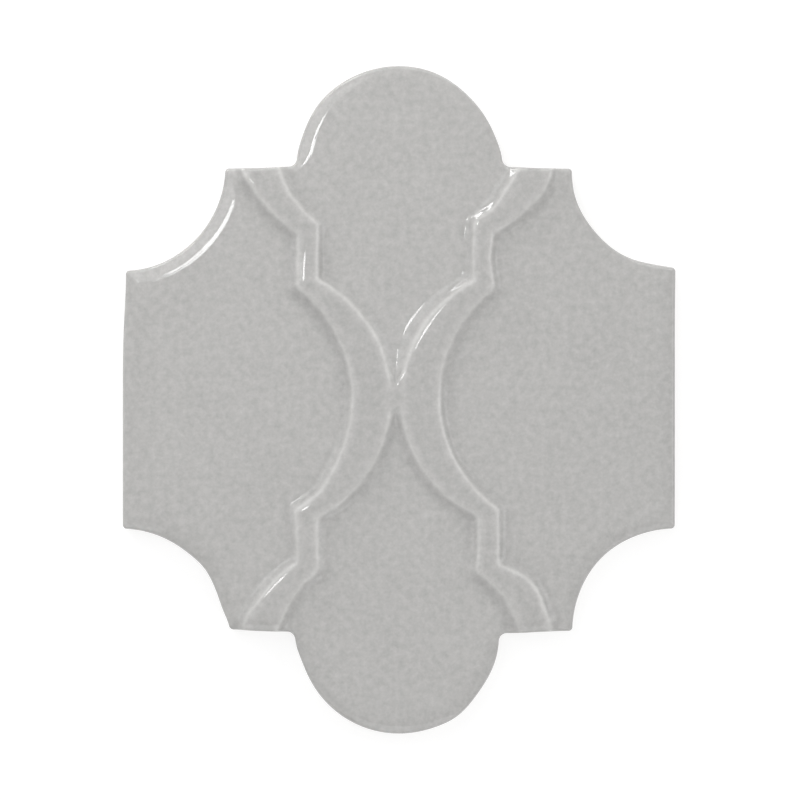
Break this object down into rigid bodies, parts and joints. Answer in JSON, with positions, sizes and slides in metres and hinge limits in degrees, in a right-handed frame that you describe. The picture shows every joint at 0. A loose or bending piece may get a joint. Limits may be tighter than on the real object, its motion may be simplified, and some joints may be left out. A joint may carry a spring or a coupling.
{
  "type": "arabesque lantern tile",
  "caption": "Lantern-shaped glazed ceramic wall tile with raised arabesque bands back to back, a rolled edge and a keyed flat back for bonding.",
  "frame": {"origin": "middle of the flat back, on the plane that the tile lies on", "axes": "+Z out of the glazed face, +Y from dome to dome along the tile, +X across it between the straight sides"},
  "size_m": [0.1654, 0.2, 0.0112],
  "materials": {
    "glaze": "glossy warm light grey glaze, slightly mottled, paler where it thins on the crests and edges and darker where it pools at the foot of the bands; bare pale bisque on the back"
  },
  "bodies": {
    "root": {"tile": "glaze"}
  },
  "joints": []
}
